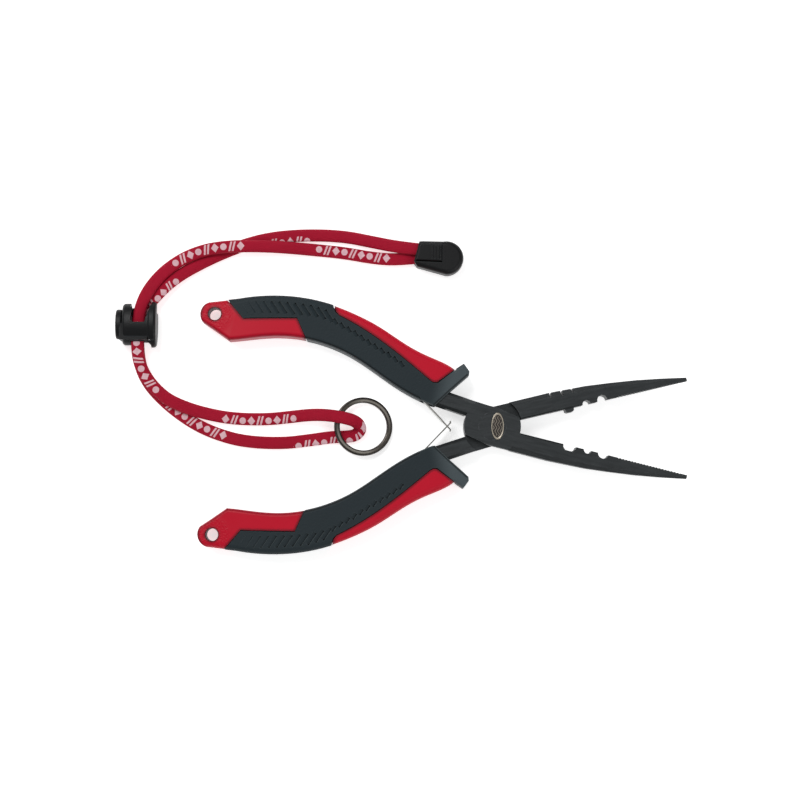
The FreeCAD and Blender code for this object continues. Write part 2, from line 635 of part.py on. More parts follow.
def clip_lid():
    top_z = CLIP_SEAT_Z + CLIP_LID_T
    lid = prism(polygon(CLIP_PANEL), CLIP_SEAT_Z, top_z)
    lid = lid.makeFillet(CLIP_LID_EASE, [e for e in lid.Edges if e.BoundBox.ZMin > top_z - 0.1])
    ridges = []
    for x in CLIP_RIDGES:
        ridge = Part.makeCylinder(CLIP_RIDGE_R, CLIP_RIDGE_LENGTH, V(x, CLIP_RIDGE_Y, top_z), V(0, 1, 0))
        ridges.append(ridge)
    return lid.fuse(ridges)


# ---- build ----------------------------------------------------------------------------------------
export(rivet_shape(0.0), "pivot_rivet")
for half_name in ("a", "b"):
    steel_shape = steel_half(half_name)
    core_shape, cover_shape = grips(steel_shape)
    export(place_half(steel_shape, half_name), "steel_half_" + half_name)
    export(place_half(core_shape, half_name), "grip_core_" + half_name)
    export(place_half(cover_shape, half_name), "grip_cover_" + half_name)
    export(place_half(leaf_pin(), half_name), "spring_pin_" + half_name)
    export(place_half(leaf(half_name), half_name), "leaf_spring_" + half_name)
export(cord(), "lanyard_cord")
export(split_ring(), "split_ring")
export(lock_body(), "lock_body")
export(lock_plunger(), "lock_plunger")
export(lock_spring(), "lock_spring")
export(clip_body(), "clip_body")
export(clip_lid(), "clip_lid")
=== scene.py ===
import math

import bpy
from mathutils import Matrix, Vector


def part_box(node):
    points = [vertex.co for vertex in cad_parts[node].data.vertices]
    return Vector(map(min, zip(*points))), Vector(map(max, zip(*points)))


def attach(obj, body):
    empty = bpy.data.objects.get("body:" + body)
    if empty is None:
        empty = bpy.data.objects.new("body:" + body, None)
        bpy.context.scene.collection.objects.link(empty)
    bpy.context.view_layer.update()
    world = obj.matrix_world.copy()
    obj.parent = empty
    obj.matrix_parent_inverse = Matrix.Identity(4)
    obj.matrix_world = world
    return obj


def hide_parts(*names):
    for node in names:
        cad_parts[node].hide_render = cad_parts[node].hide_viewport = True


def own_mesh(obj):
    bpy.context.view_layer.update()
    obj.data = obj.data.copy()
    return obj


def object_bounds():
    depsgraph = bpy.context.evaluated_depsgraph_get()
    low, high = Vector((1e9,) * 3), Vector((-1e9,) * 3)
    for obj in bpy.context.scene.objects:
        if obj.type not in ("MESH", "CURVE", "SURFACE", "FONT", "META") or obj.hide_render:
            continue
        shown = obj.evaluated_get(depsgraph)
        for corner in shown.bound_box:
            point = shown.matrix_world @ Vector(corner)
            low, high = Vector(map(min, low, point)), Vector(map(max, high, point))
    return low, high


# Fishing pliers with a wrist lanyard, lying open on a pale table.  Metres, and the CAD frame:
# the pivot axis is Z through the origin, and the closed jaws point along +X.

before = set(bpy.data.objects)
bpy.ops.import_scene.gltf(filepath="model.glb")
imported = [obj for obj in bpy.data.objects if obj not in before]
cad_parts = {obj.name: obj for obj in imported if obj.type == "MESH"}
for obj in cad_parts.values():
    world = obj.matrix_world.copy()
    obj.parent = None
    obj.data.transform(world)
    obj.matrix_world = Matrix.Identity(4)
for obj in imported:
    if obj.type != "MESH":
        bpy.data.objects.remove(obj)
cad_low, cad_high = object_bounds()

MM = 0.001
OPEN_ANGLE = math.radians(13.5)      # each half is swung this far from closed at rest
TABLE_Z = cad_low.z
JOINT_TOP_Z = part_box("steel_half_a")[1].z


# ---- camera -------------------------------------------------------------------------------------
CAMERA_AIM = Vector((-0.0368, 0.0104, 0.005))
CAMERA_PLACE = Vector((-0.047, -0.0416, 0.805))
CAMERA_ROLL = math.radians(0.48)
VIEW_WIDTH = 0.320                   # width of the view at the aimed point
SENSOR_MM = 36.0


def make_camera():
    back = CAMERA_PLACE - CAMERA_AIM
    distance = back.length
    back.normalize()
    right = Vector((math.cos(CAMERA_ROLL), math.sin(CAMERA_ROLL), 0))
    right = (right - back * right.dot(back)).normalized()
    up = back.cross(right)
    data = bpy.data.cameras.new("camera")
    data.sensor_width = SENSOR_MM
    data.lens = SENSOR_MM * distance / VIEW_WIDTH
    camera = bpy.data.objects.new("camera", data)
    camera.matrix_world = Matrix.Translation(CAMERA_PLACE) @ Matrix((right, up, back)).transposed().to_4x4()
    bpy.context.scene.collection.objects.link(camera)
    bpy.context.scene.camera = camera


# ---- shader nodes -------------------------------------------------------------------------------
NOISE_DETAIL = 3.0
GROOVE_SHADE_REACH = 1.4 * MM             # how near a wall has to be for painted shade in a groove
GROOVE_SHADE_SKY = (0.72, 0.38)           # share of open sky at a groove's rim and down in it
# Where masks start and are full: the size of the surface's Z direction, its lean towards the other
# handle, and the cosine between the surface's direction and that of its rounded neighbourhood.
WALL_UPRIGHT = (0.74, 0.62)
RIM_SHADE_UPRIGHT = (0.97, 0.9)
WALL_INWARD = (0.1, 0.3)
EDGE_TURN = (0.995, 0.9)


class Shader:
    """A material built of nodes.  A value is a socket or a plain number."""

    def __init__(self, name, roughness, metallic=0.0, **uniform):
        self.material = bpy.data.materials.new(name)
        self.material.use_nodes = True
        self.tree = self.material.node_tree
        self.surface = self.tree.nodes["Principled BSDF"]
        self.surface.inputs["Roughness"].default_value = roughness
        self.surface.inputs["Metallic"].default_value = metallic
        for socket, value in uniform.items():
            self.surface.inputs[socket.replace("_", " ")].default_value = value

    def put(self, socket, value):
        if isinstance(value, bpy.types.NodeSocket):
            self.tree.links.new(value, socket)
        else:
            socket.default_value = value

    def node(self, kind, **settings):
        made = self.tree.nodes.new("ShaderNode" + kind)
        for name, value in settings.items():
            setattr(made, name, value)
        return made

    def set(self, name, value):
        self.put(self.surface.inputs[name], value)

    def math(self, operation, *values):
        made = self.node("Math", operation=operation)
        for socket, value in zip(made.inputs, values):
            self.put(socket, value)
        return made.outputs[0]

    def times(self, first, second):
        return self.math("MULTIPLY", first, second)

    def reach(self, place, middle, x_unit=1.0, y_unit=1.0):
        """Distance from a point in the XY plane, with X and Y each in its own unit."""
        x, y, _ = self.axes(place)
        across = self.math("DIVIDE", self.math("SUBTRACT", x, middle[0]), x_unit)
        along = self.math("DIVIDE", self.math("SUBTRACT", y, middle[1]), y_unit)
        squares = [self.math("POWER", value, 2) for value in (across, along)]
        return self.math("SQRT", self.math("ADD", *squares))

    def choose(self, share, first, second):
        """The first number where share is 0, and the second where it is 1."""
        made = self.node("Mix")
        self.put(made.inputs["Factor"], share)
        self.put(made.inputs["A"], first)
        self.put(made.inputs["B"], second)
        return made.outputs["Result"]

    def step(self, value, low, high):
        """0 up to low, 1 from high on, and smooth between them, whichever is the larger."""
        made = self.node("MapRange", interpolation_type="SMOOTHSTEP")
        self.put(made.inputs["Value"], value)
        self.put(made.inputs["From Min"], low)
        self.put(made.inputs["From Max"], high)
        return made.outputs["Result"]

    def spread(self, value, low, high):
        """A 0 to 1 value brought to low to high."""
        made = self.node("MapRange")
        self.put(made.inputs["Value"], value)
        made.inputs["To Min"].default_value = low
        made.inputs["To Max"].default_value = high
        return made.outputs["Result"]

    def mix(self, share, first, second):
        made = self.node("Mix", data_type="RGBA")
        self.put(made.inputs["Factor"], share)
        self.put(made.inputs["A"], colour(first))
        self.put(made.inputs["B"], colour(second))
        return made.outputs["Result"]

    def place(self, turn=0.0, scale=(1, 1, 1)):
        """The piece's own coordinates, scaled and then turned about Z."""
        texture = self.node("TexCoord")
        mapping = self.node("Mapping")
        self.put(mapping.inputs["Vector"], texture.outputs["Object"])
        mapping.inputs["Rotation"].default_value = (0, 0, turn)
        mapping.inputs["Scale"].default_value = scale
        return mapping.outputs["Vector"]

    def stretch(self, vector, scale):
        mapping = self.node("Mapping")
        self.put(mapping.inputs["Vector"], vector)
        mapping.inputs["Scale"].default_value = scale
        return mapping.outputs["Vector"]

    def noise(self, vector, size):
        """Noise whose blotches are about size metres across."""
        made = self.node("TexNoise")
        self.put(made.inputs["Vector"], vector)
        made.inputs["Scale"].default_value = 1 / size
        made.inputs["Detail"].default_value = NOISE_DETAIL
        return made.outputs["Fac"]

    def grain(self, vector, size):
        """Fine pebbled relief, like spark-eroded mould texture."""
        made = self.node("TexVoronoi", feature="SMOOTH_F1")
        self.put(made.inputs["Vector"], vector)
        made.inputs["Scale"].default_value = 1 / size
        return made.outputs["Distance"]

    def axes(self, vector):
        made = self.node("SeparateXYZ")
        self.put(made.inputs[0], vector)
        return made.outputs[0], made.outputs[1], made.outputs[2]

    def groove_shade(self):
        """Painted shade: 1 deep in a narrow groove, 0 in the open."""
        # Occlusion read at render time, used only to paint shade into the colour
        shade = self.node("AmbientOcclusion", samples=8)
        shade.inputs["Distance"].default_value = GROOVE_SHADE_REACH
        return self.step(shade.outputs["AO"], *GROOVE_SHADE_SKY)

    def facing(self):
        """The surface's own direction, in the piece's coordinates."""
        return self.axes(self.node("TexCoord").outputs["Normal"])

    def inner_wall_and_rim_shade(self, half):
        """1 on the side wall towards the other handle, and 1 on the line where it meets the flat face,
        which takes a painted shade line.
        """
        _, y, z = self.facing()
        upright = self.math("ABSOLUTE", z)
        inward = self.step(self.times(y, -1 if half == "a" else 1), *WALL_INWARD)
        wall = self.times(self.step(upright, *WALL_UPRIGHT), inward)
        # rim: the line where the wall meets the flat face, used for a painted shade line
        rim = self.times(self.step(upright, *RIM_SHADE_UPRIGHT), inward)
        return wall, self.math("SUBTRACT", rim, wall)

    def relief(self, height, depth, normal=None):
        """Bump of that depth in metres."""
        made = self.node("Bump")
        self.put(made.inputs["Height"], height)
        made.inputs["Distance"].default_value = depth
        if normal is not None:
            self.put(made.inputs["Normal"], normal)
        return made.outputs["Normal"]

    def near_edges(self, radius):
        """1 along sharp edges, 0 on open faces."""
        bevel = self.node("Bevel", samples=6)
        bevel.inputs["Radius"].default_value = radius
        geometry = self.node("NewGeometry")
        between = self.node("VectorMath", operation="DOT_PRODUCT")
        self.put(between.inputs[0], bevel.outputs[0])
        self.put(between.inputs[1], geometry.outputs["Normal"])
        return self.step(between.outputs["Value"], *EDGE_TURN)


def colour(value):
    """sRGB 0 to 255 as the linear colour that nodes take."""
    if isinstance(value, bpy.types.NodeSocket):
        return value
    linear = [((c / 255 + 0.055) / 1.055) ** 2.4 if c > 10 else c / 255 / 12.92 for c in value]
    return (*linear, 1.0)


def closed_place(shader, half):
    """The coordinates of a half's piece in the drawing of half A closed."""
    side = 1 if half == "a" else -1
    return shader.place(OPEN_ANGLE, (1, side, 1))


# ---- materials ----------------------------------------------------------------------------------
# Colours are sRGB, 0 to 255.  A noise or grain size is that of one blotch, and a relief is a depth.
STEEL_DARK = (36, 40, 42)
STEEL_PALE = (64, 68, 70)
STEEL_CLOUD = (40, 40, 41)
# Paler edge colour: partly wear, partly a painted edge highlight
STEEL_WORN_AND_HIGHLIGHT = (98, 101, 104)
STEEL_WEAR_AND_HIGHLIGHT = 0.6                     # how far edges turn to the worn colour, which is partly wear and partly a painted highlight
ALONG_X = (0.12, 1, 1)               # scale that draws noise out along X


def black_steel(half):
    """Blackened forged steel with streaks along the jaws, and edges paler partly from rubbing and partly as
    a painted highlight.
    """
    shader = Shader("black_steel_" + half, roughness=0.42, metallic=0.55)
    place = closed_place(shader, half)
    streaks = shader.noise(shader.stretch(place, ALONG_X), 0.9 * MM)
    clouds = shader.noise(place, 12 * MM)
    base = shader.mix(streaks, STEEL_DARK, STEEL_PALE)
    base = shader.mix(shader.spread(clouds, 0.0, 0.3), base, STEEL_CLOUD)
    patches = shader.step(shader.noise(place, 1.6 * MM), 0.42, 0.6)
    # Edges paler in patches: partly wear, partly a painted highlight
    wear_and_highlight = shader.times(shader.near_edges(0.25 * MM), patches)
    shader.set("Base Color", shader.mix(shader.times(wear_and_highlight, STEEL_WEAR_AND_HIGHLIGHT), base, STEEL_WORN_AND_HIGHLIGHT))
    shader.set("Roughness", shader.spread(streaks, 0.36, 0.56))
    pits = shader.relief(shader.noise(place, 0.6 * MM), 0.05 * MM)
    shader.set("Normal", shader.relief(streaks, 0.06 * MM, pits))
    return shader.material


RED_DEEP = (184, 6, 36)
RED_BRIGHT = (198, 11, 43)
RED_WALL = (150, 52, 70)
# Painted shade colour for the line where the inner wall meets the flat face
RED_RIM_SHADE = (120, 4, 24)
# Painted shade colour along the red's edges, where it steps down beside the rubber
RED_STEP_SHADE = (66, 18, 28)
# Painted shade colour for the red down in narrow grooves
RED_GROOVE_SHADE = (30, 6, 12)
# Painted shade colour on the wall of the butt's hole
RED_HOLE_SHADE = (34, 14, 18)
RED_WALL_SHARE = 0.55
RED_RIM_SHADE_SHARE = 0.4
RED_STEP_SHADE_SHARE = 0.9
RED_STEP_SHADE_WIDTH = 2.2 * MM
BUTT_HOLE = (-118.1 * MM, 16.8 * MM)
HOLE_EDGE = 2.6 * MM                 # just outside the hole's wall
STIPPLE_FULL = 5.8 * MM              # the butt is stippled round the hole, and it fades out from here
STIPPLE_END = 8.2 * MM


def red_plastic(half):
    """Glossy red plastic with painted shade down in the line round it, along its edges, on the line where
    the inner wall meets the face and down the butt's hole's wall, and stippled round the butt's hole.
    """
    shader = Shader("red_plastic_" + half, roughness=0.42, Specular_IOR_Level=0.2)
    place = closed_place(shader, half)
    base = shader.mix(shader.noise(place, 20 * MM), RED_DEEP, RED_BRIGHT)
    wall, rim = shader.inner_wall_and_rim_shade(half)
    base = shader.mix(shader.times(wall, RED_WALL_SHARE), base, RED_WALL)
    # Painted shade line where the wall meets the face
    base = shader.mix(shader.times(rim, RED_RIM_SHADE_SHARE), base, RED_RIM_SHADE)
    # Painted shade in a band along the edges
    step_shade = shader.times(shader.near_edges(RED_STEP_SHADE_WIDTH), RED_STEP_SHADE_SHARE)
    base = shader.mix(step_shade, base, RED_STEP_SHADE)
    # Painted shade down in the grooves
    base = shader.mix(shader.groove_shade(), base, RED_GROOVE_SHADE)
    from_hole = shader.reach(place, BUTT_HOLE)
    # Painted shade down the hole's wall
    hole_shade = shader.step(from_hole, HOLE_EDGE + 0.2 * MM, HOLE_EDGE)
    shader.set("Base Color", shader.mix(hole_shade, base, RED_HOLE_SHADE))
    stipple = shader.step(from_hole, STIPPLE_END, STIPPLE_FULL)
    fine = shader.relief(shader.noise(place, 0.5 * MM), 0.02 * MM)
    dots = shader.times(shader.grain(place, 0.55 * MM), stipple)
    shader.set("Normal", shader.relief(dots, 0.22 * MM, fine))
    shader.set("Roughness", shader.spread(shader.noise(place, 4 * MM), 0.34, 0.5))
    return shader.material


RUBBER_DEEP = (27, 38, 42)
RUBBER_PALE = (36, 46, 51)
# Paler colour for the thumb guard, and for edges that are partly scuffed and partly a painted highlight
RUBBER_SCUFF_AND_HIGHLIGHT = (84, 94, 98)
RUBBER_WALL_DEEP = (76, 84, 87)
RUBBER_WALL_PALE = (94, 102, 104)
# Painted shade colour for the line where the inner wall meets the flat face
RUBBER_RIM_SHADE = (13, 18, 20)
# Painted shade colour for the rubber down in narrow grooves
RUBBER_GROOVE_SHADE = (10, 12, 14)
RUBBER_WALL_SHARE = 0.8
RUBBER_RIM_SHADE_SHARE = 0.7
RUBBER_SCUFF_AND_HIGHLIGHT_SHARE = 0.3
GUARD_SHARE = 0.6
GUARD_START_X = -28 * MM             # the thumb guard is paler, from here to its end
GUARD_FULL_X = -19 * MM


def dark_rubber(half):
    """Blue-grey rubber, paler on the thumb guard and chalky on the wall between the handles, with a painted
    shade line where that wall meets the face, painted shade in grooves, and edges paler partly from scuffs
    and partly as a painted highlight.
    """
    shader = Shader("dark_rubber_" + half, roughness=0.62, Specular_IOR_Level=0.25)
    place = closed_place(shader, half)
    clouds = shader.noise(place, 18 * MM)
    base = shader.mix(clouds, RUBBER_DEEP, RUBBER_PALE)
    x, _, _ = shader.axes(place)
    guard = shader.times(shader.step(x, GUARD_START_X, GUARD_FULL_X), GUARD_SHARE)
    base = shader.mix(guard, base, RUBBER_SCUFF_AND_HIGHLIGHT)
    wall, rim = shader.inner_wall_and_rim_shade(half)
    chalk = shader.mix(shader.noise(place, 0.7 * MM), RUBBER_WALL_DEEP, RUBBER_WALL_PALE)
    base = shader.mix(shader.times(wall, RUBBER_WALL_SHARE), base, chalk)
    # Painted shade line where the wall meets the face
    base = shader.mix(shader.times(rim, RUBBER_RIM_SHADE_SHARE), base, RUBBER_RIM_SHADE)
    # Edges paler: partly scuffs, partly a painted highlight on the ribs' edges
    scuffs_and_highlights = shader.times(shader.near_edges(0.4 * MM), RUBBER_SCUFF_AND_HIGHLIGHT_SHARE)
    base = shader.mix(scuffs_and_highlights, base, RUBBER_SCUFF_AND_HIGHLIGHT)
    # Painted shade down in the grooves
    shader.set("Base Color", shader.mix(shader.groove_shade(), base, RUBBER_GROOVE_SHADE))
    skin = shader.relief(shader.grain(place, 0.7 * MM), 0.09 * MM)
    shader.set("Normal", shader.relief(shader.noise(place, 2.2 * MM), 0.06 * MM, skin))
    shader.set("Roughness", shader.spread(clouds, 0.55, 0.7))
    return shader.material


BRIGHT_DEEP = (128, 128, 124)
BRIGHT_PALE = (182, 181, 176)
ALONG_Z = (1, 1, 0.08)               # scale that draws noise out along Z


def bright_steel():
    """Bare spring steel with drawn lines."""
    shader = Shader("bright_steel", roughness=0.3, metallic=1.0)
    lines = shader.noise(shader.stretch(shader.place(), ALONG_Z), 0.4 * MM)
    shader.set("Base Color", shader.mix(lines, BRIGHT_DEEP, BRIGHT_PALE))
    shader.set("Roughness", shader.spread(lines, 0.22, 0.42))
    shader.set("Normal", shader.relief(lines, 0.03 * MM))
    return shader.material


RING_MIDDLE = (-51.3 * MM, -0.2 * MM)
RING_INSIDE = 9.55 * MM
RING_OUTSIDE = 11.75 * MM
# The wire's own dark colour, which also stands for painted shade at its edges, and the painted highlight's
# colour
RING_BASE_AND_SHADE = ((58, 54, 51), (84, 79, 74))
RING_HIGHLIGHT = ((160, 153, 144), (204, 198, 188))
RING_HIGHLIGHT_START = 0.6                # where round the ring the painted highlight begins, in radians of sweep


def ring_steel():
    """Smoked nickel wire: a painted highlight along the top of the wire that comes and goes round the ring,
    and painted shade at its edges.
    """
    shader = Shader("ring_steel", roughness=0.24, metallic=1.0)
    place = shader.place()
    x, y, _ = shader.axes(place)
    from_x = shader.math("SUBTRACT", x, RING_MIDDLE[0])
    from_y = shader.math("SUBTRACT", y, RING_MIDDLE[1])
    past_inside = shader.math("SUBTRACT", shader.reach(place, RING_MIDDLE), RING_INSIDE)
    across = shader.math("DIVIDE", past_inside, RING_OUTSIDE - RING_INSIDE)
    # Painted highlight: a band along the wire's top, brighter or fainter round the ring; where it is absent
    # at the edges the dark colour stands for painted shade
    crown_highlight = shader.times(shader.step(across, 0.12, 0.34), shader.step(across, 0.72, 0.46))
    turn = shader.times(shader.math("ARCTAN2", from_y, from_x), 2)
    sweep = shader.math("SINE", shader.math("SUBTRACT", turn, RING_HIGHLIGHT_START))
    lit = shader.spread(shader.step(sweep, -0.9, 0.6), 0.25, 1.0)
    smears = shader.noise(place, 6 * MM)
    dark = shader.mix(smears, *RING_BASE_AND_SHADE)
    pale = shader.mix(smears, *RING_HIGHLIGHT)
    shader.set("Base Color", shader.mix(shader.times(crown_highlight, lit), dark, pale))
    shader.set("Roughness", shader.spread(shader.noise(place, 2 * MM), 0.18, 0.34))
    shader.set("Normal", shader.relief(shader.noise(place, 0.7 * MM), 0.02 * MM))
    return shader.material


PLASTIC_DEEP = (10, 11, 13)
PLASTIC_PALE = (17, 18, 20)
PLASTIC_WORN = (66, 69, 72)
PLASTIC_WEAR = 0.5


def black_plastic():
    """Moulded black plastic with a fine spark-eroded skin."""
    shader = Shader("black_plastic", roughness=0.42, Specular_IOR_Level=0.24)
    place = shader.place()
    base = shader.mix(shader.noise(place, 8 * MM), PLASTIC_DEEP, PLASTIC_PALE)
    edges = shader.times(shader.near_edges(0.4 * MM), PLASTIC_WEAR)
    shader.set("Base Color", shader.mix(edges, base, PLASTIC_WORN))
    shader.set("Roughness", shader.spread(shader.noise(place, 3 * MM), 0.34, 0.5))
    shader.set("Normal", shader.relief(shader.grain(place, 0.4 * MM), 0.03 * MM))
    return shader.material


MARK_PITCH = 3.45 * MM               # one printed mark to the next
MARK_HALF_HEIGHT = 2.05 * MM
THREAD_PITCH = 0.55 * MM
STRAP_DEEP = (164, 18, 44)
STRAP_PALE = (186, 24, 54)
STRAP_SEAM = (114, 12, 34)           # between the threads
STRAP_INK = (240, 200, 208)
# The marks' shapes, in shares of the pitch along the strap and of the half height across it.
LOZENGE_SLOPE = 2.1
BAR_LEAN = 0.16
BAR_FROM_MIDDLE = 0.2
BAR_EDGE = (0.13, 0.09)
DOT_STRETCH = (2.4, 1.35)


def printed_marks(shader, along, across):
    """1 on a row of marks: a solid lozenge, a pair of slanted bars and a dot, in turn."""
    cell = shader.math("DIVIDE", along, MARK_PITCH)
    number = shader.math("FLOOR", cell)
    a = shader.math("SUBTRACT", shader.math("SUBTRACT", cell, number), 0.5)
    b = shader.math("DIVIDE", across, MARK_HALF_HEIGHT)
    a_size = shader.math("ABSOLUTE", a)
    b_size = shader.math("ABSOLUTE", b)
    slope = shader.math("ADD", shader.times(a_size, LOZENGE_SLOPE), b_size)
    lozenge = shader.step(slope, 1.0, 0.86)
    lean = shader.math("ABSOLUTE", shader.math("ADD", a, shader.times(b, BAR_LEAN)))
    from_bar = shader.math("ABSOLUTE", shader.math("SUBTRACT", lean, BAR_FROM_MIDDLE))
    bars = shader.step(from_bar, *BAR_EDGE)
    squares = [shader.math("POWER", shader.times(size, stretch), 2)
               for size, stretch in zip((a_size, b_size), DOT_STRETCH)]
    dot = shader.step(shader.math("ADD", *squares), 0.9, 0.7)
    kind = shader.math("MODULO", number, 3)
    marks = shader.choose(shader.math("COMPARE", kind, 0, 0.1), bars, lozenge)
    marks = shader.choose(shader.math("COMPARE", kind, 2, 0.1), marks, dot)
    started = shader.math("GREATER_THAN", along, 0.0)
    inside = shader.times(shader.step(b_size, 1.0, 0.94), started)
    return shader.times(marks, inside)


def red_strap():
    """Woven red strap with a printed row of generic marks."""
    shader = Shader("red_strap", roughness=0.6, Specular_IOR_Level=0.12)
    weave_map = shader.node("UVMap", uv_map="weave")
    along, across, _ = shader.axes(weave_map.outputs[0])
    print_map = shader.node("UVMap", uv_map="print")
    ink_along, ink_across, _ = shader.axes(print_map.outputs[0])
    ink = printed_marks(shader, ink_along, ink_across)

    turns = 2 * math.pi / THREAD_PITCH
    warp = shader.math("SINE", shader.times(shader.math("ADD", along, across), turns))
    weft = shader.math("SINE", shader.times(shader.math("SUBTRACT", along, across), turns))
    weave = shader.times(warp, weft)
    place = shader.place()
    base = shader.mix(shader.noise(place, 15 * MM), STRAP_DEEP, STRAP_PALE)
    base = shader.mix(shader.spread(weave, 0.0, 0.25), base, STRAP_SEAM)
    worn_ink = shader.times(ink, shader.spread(shader.noise(place, 1.2 * MM), 0.7, 1.1))
    shader.set("Base Color", shader.mix(worn_ink, base, STRAP_INK))
    shader.set("Normal", shader.relief(weave, 0.05 * MM))
    return shader.material


MEDALLION_X = 2.0 * MM
MEDALLION_WIDTH = 5.1 * MM
MEDALLION_HEIGHT = 11.0 * MM
MEDALLION_FIELD = ((50, 46, 43), (66, 61, 57))
MEDALLION_WAVE = (132, 124, 114)
MEDALLION_RIM = (176, 167, 152)
WAVE_LENGTH = 2.6 * MM
WAVE_SWAY = 0.35 * MM
WAVE_PITCH = 1.05 * MM               # one wavy line to the next


def medallion_metal():
    """Oval badge: a pale rim round a taupe field of wavy lines."""
    shader = Shader("medallion_metal", roughness=0.4, metallic=0.6)
    place = shader.place()
    x, y, _ = shader.axes(place)
    reach = shader.reach(place, (MEDALLION_X, 0), MEDALLION_WIDTH / 2, MEDALLION_HEIGHT / 2)
    rim = shader.times(shader.step(reach, 0.8, 0.85), shader.step(reach, 0.98, 0.95))
    sway = shader.times(shader.math("SINE", shader.times(y, 2 * math.pi / WAVE_LENGTH)), WAVE_SWAY)
    rows = shader.math("SINE", shader.times(shader.math("ADD", x, sway), 2 * math.pi / WAVE_PITCH))
    waves = shader.times(shader.step(rows, 0.2, 0.7), shader.step(reach, 0.76, 0.7))
    field = shader.mix(shader.noise(place, 1.5 * MM), *MEDALLION_FIELD)
    base = shader.mix(waves, field, MEDALLION_WAVE)
    shader.set("Base Color", shader.mix(rim, base, MEDALLION_RIM))
    shader.set("Normal", shader.relief(waves, 0.06 * MM))
    return shader.material


TABLE_WHITES = ((246, 246, 246), (250, 250, 250))
TABLE_GLOW = 0.62
WHITE = (1, 1, 1, 1)


def table_paint():
    """Backlit white sweep, so that shadows on it stay faint."""
    shader = Shader("table_paint", roughness=0.9, Emission_Color=WHITE, Emission_Strength=TABLE_GLOW)
    shader.set("Base Color", shader.mix(shader.noise(shader.place(), 0.2), *TABLE_WHITES))
    return shader.material


# ---- meshes -------------------------------------------------------------------------------------
def add_mesh(name, points, faces, material, smooth=True):
    mesh = bpy.data.meshes.new(name)
    mesh.from_pydata([tuple(p) for p in points], [], faces)
    mesh.materials.append(material)
    mesh.polygons.foreach_set("use_smooth", [smooth] * len(mesh.polygons))
    mesh.update()
    made = bpy.data.objects.new(name, mesh)
    bpy.context.scene.collection.objects.link(made)
    return made


def tube_faces(rings, sides):
    """Quads between rings of points, with a face over each end."""
    faces = []
    for ring in range(rings - 1):
        for side in range(sides):
            following = (side + 1) % sides
            near = ring * sides
            far = near + sides
            faces.append((near + side, near + following, far + following, far + side))
    faces.append(tuple(reversed(range(sides))))
    faces.append(tuple(range((rings - 1) * sides, rings * sides)))
    return faces


# ---- strap --------------------------------------------------------------------------------------
STRAP_WIDTH = 5.0 * MM
STRAP_THICKNESS = 2.6 * MM
STRAP_SIDES = 32
STRAP_CORNER = 0.8                   # 1 gives an ellipse, and less gives flatter sides
ROUTE_STEPS = 16                     # points read between two of the route's own
# The route's heights: lying on the table, and the lower and upper strand inside the cord lock.
LIE = -0.2
LOCK_LOW = 3.15
LOCK_HIGH = 5.9
LOCK_X = -142.0
STRAP_ROUTE_MM = [
    (-29.6, 71.3, 3.7), (-38.5, 72.3, 3.1), (-48.5, 74.6, 0.3), (-60.0, 76.9, LIE), (-75.0, 77.3, LIE),
    (-89.5, 76.0, LIE), (-101.4, 72.7, LIE), (-115.0, 66.8, LIE), (-128.4, 59.0, 0.6),
    (-137.0, 49.6, LOCK_LOW), (LOCK_X, 42.6, LOCK_LOW), (LOCK_X, 26.5, LOCK_LOW),
    (-138.4, 16.6, 0.8), (-129.6, 7.6, LIE),
    (-119.6, 0.6, LIE), (-110.4, -3.6, LIE), (-99.0, -6.6, LIE), (-84.0, -7.2, LIE), (-73.0, -5.8, LIE),
    (-64.0, -4.4, LIE), (-58.6, -4.3, LIE), (-54.4, -3.8, 0.4), (-52.2, -1.1, 1.8), (-54.0, 1.7, 3.9),
    (-58.6, 3.0, 6.0), (-65.6, 4.1, 6.0), (-72.8, 4.3, 3.0), (-80.5, 3.5, 0.2), (-90.5, 2.4, LIE),
    (-104.0, 2.6, LIE), (-115.4, 4.6, 1.4), (-125.0, 7.6, 2.9), (-131.8, 11.2, 3.2), (-138.6, 18.4, 3.9),
    (LOCK_X, 26.8, LOCK_HIGH), (LOCK_X, 42.0, LOCK_HIGH), (-139.4, 51.6, 5.2), (-133.6, 60.2, 2.6),
    (-125.6, 66.6, 1.5), (-116.6, 70.4, 1.9), (-107.0, 71.9, 2.8), (-95.5, 72.2, 2.8), (-84.5, 72.0, 1.5),
    (-73.0, 71.3, LIE), (-59.5, 70.1, LIE), (-48.5, 68.1, 0.1), (-38.5, 67.3, 0.9), (-29.6, 68.4, 1.05),
]
# Printed stretches: start, measured from the strap's far end, and how far off the middle each sits.
PRINT_STARTS_MM = [
    (11.3, 0.3), (70.5, 0.0), (129.0, 0.2), (187.0, 0.8),
    (244.0, -1.9), (302.0, 0.2), (359.5, 1.4), (417.0, 2.5),
]
PRINT_MARKS = 9


def route_line():
    """The route's own smooth line, as a list of points."""
    data = bpy.data.curves.new("route", "CURVE")
    data.dimensions = "3D"
    data.resolution_u = ROUTE_STEPS
    spline = data.splines.new("NURBS")
    spline.points.add(len(STRAP_ROUTE_MM) - 1)
    for point, place in zip(spline.points, STRAP_ROUTE_MM):
        point.co = (*(Vector(place) * MM), 1.0)
    spline.order_u = 3
    spline.use_endpoint_u = True
    holder = bpy.data.objects.new("route", data)
    mesh = bpy.data.meshes.new_from_object(holder)
    line = [v.co.copy() for v in mesh.vertices]
    bpy.data.meshes.remove(mesh)
    bpy.data.objects.remove(holder)
    bpy.data.curves.remove(data)
    return line


